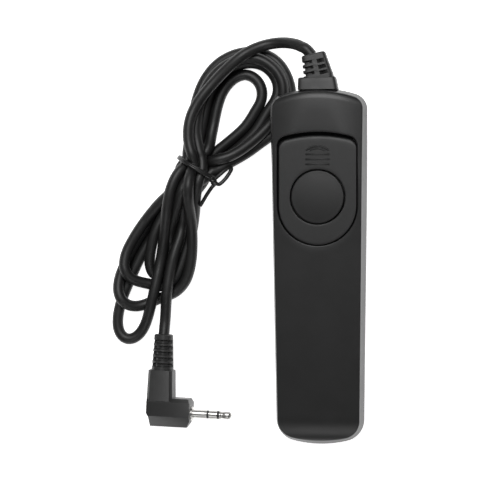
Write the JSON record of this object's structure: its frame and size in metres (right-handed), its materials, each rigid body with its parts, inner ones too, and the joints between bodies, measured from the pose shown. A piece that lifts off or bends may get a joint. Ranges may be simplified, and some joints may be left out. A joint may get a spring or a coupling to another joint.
{
  "type": "cable shutter release",
  "caption": "Hand-held two-step shutter button with a sliding lock, in a slim housing, on a thin wound cord that ends in a right-angle jack plug.",
  "frame": {"origin": "on the ground under the middle of the housing, which lies on its back", "axes": "+Z out of the button's face, +Y along the housing towards the cord's exit, +X to the right seen from the front"},
  "size_m": [0.0743, 0.1152, 0.0169],
  "materials": {
    "housing_plastic": "fine-grained moulded plastic, satin",
    "slider_plastic": "satin moulded plastic",
    "button_plastic": "satin moulded plastic",
    "block_plastic": "natural insulating plastic",
    "spring_brass": "rolled phosphor bronze with bright contact points",
    "plated_steel": "nickel-plated steel",
    "zinc_steel": "zinc-plated steel",
    "wire_bare_tan": "thin insulation",
    "wire_red": "thin insulation",
    "wire_white": "thin insulation",
    "solder": "bright solder",
    "cord_pvc": "semi-gloss soft PVC sheath",
    "relief_pvc": "satin soft PVC",
    "plug_pvc": "satin moulded PVC",
    "tie_plastic": "plastic-covered steel wire",
    "insulator": "black rings"
  },
  "bodies": {
    "housing": {"front_shell": "housing_plastic", "back_shell": "housing_plastic", "case_screws": "zinc_steel", "contact_block": "block_plastic", "leaf_spacers": "block_plastic", "clamp_plate": "zinc_steel", "contact_screws": "zinc_steel", "common_tab": "spring_brass", "focus_tab": "spring_brass", "release_leaf": "spring_brass", "wire_ground": "wire_bare_tan", "wire_focus": "wire_red", "wire_release": "wire_white", "solder_joints": "solder", "cord_inner_end": "cord_pvc", "strain_relief": "relief_pvc", "cord_lead": "cord_pvc", "cord_hank": "cord_pvc", "cord_tail": "cord_pvc", "twist_tie": "tie_plastic", "plug_boot": "plug_pvc", "plug_housing": "plug_pvc", "plug_collar": "plated_steel", "plug_sleeve": "plated_steel", "plug_ring": "plated_steel", "plug_tip": "plated_steel", "plug_insulators": "insulator"},
    "slider": {"lock_slider": "slider_plastic"},
    "button": {"shutter_button": "button_plastic"},
    "common_blade": {"common_leaf": "spring_brass"},
    "focus_blade": {"focus_leaf": "spring_brass"}
  },
  "joints": [
    {"name": "lock_slide", "type": "slide", "parent": "housing", "child": "slider", "axis": [0, 1, 0], "range_m": [0, 0.004]},
    {"name": "button_press", "type": "slide", "parent": "slider", "child": "button", "axis": [0, 0, -1], "range_m": [0, 0.0016], "stiffness_N_per_m": 1500},
    {"name": "common_flex", "type": "hinge", "parent": "housing", "child": "common_blade", "pos_m": [0, -0.0131, 0.00912], "axis": [-1, 0, 0], "range_deg": [0, 2.8]},
    {"name": "focus_flex", "type": "hinge", "parent": "housing", "child": "focus_blade", "pos_m": [0, -0.0131, 0.00732], "axis": [-1, 0, 0], "range_deg": [0, 1.41]}
  ],
  "couplings": [
    {"joint": "common_flex", "follows": "button_press", "rad_per_m": 30.488},
    {"joint": "focus_flex", "follows": "button_press", "rad_per_m": 15.244}
  ]
}
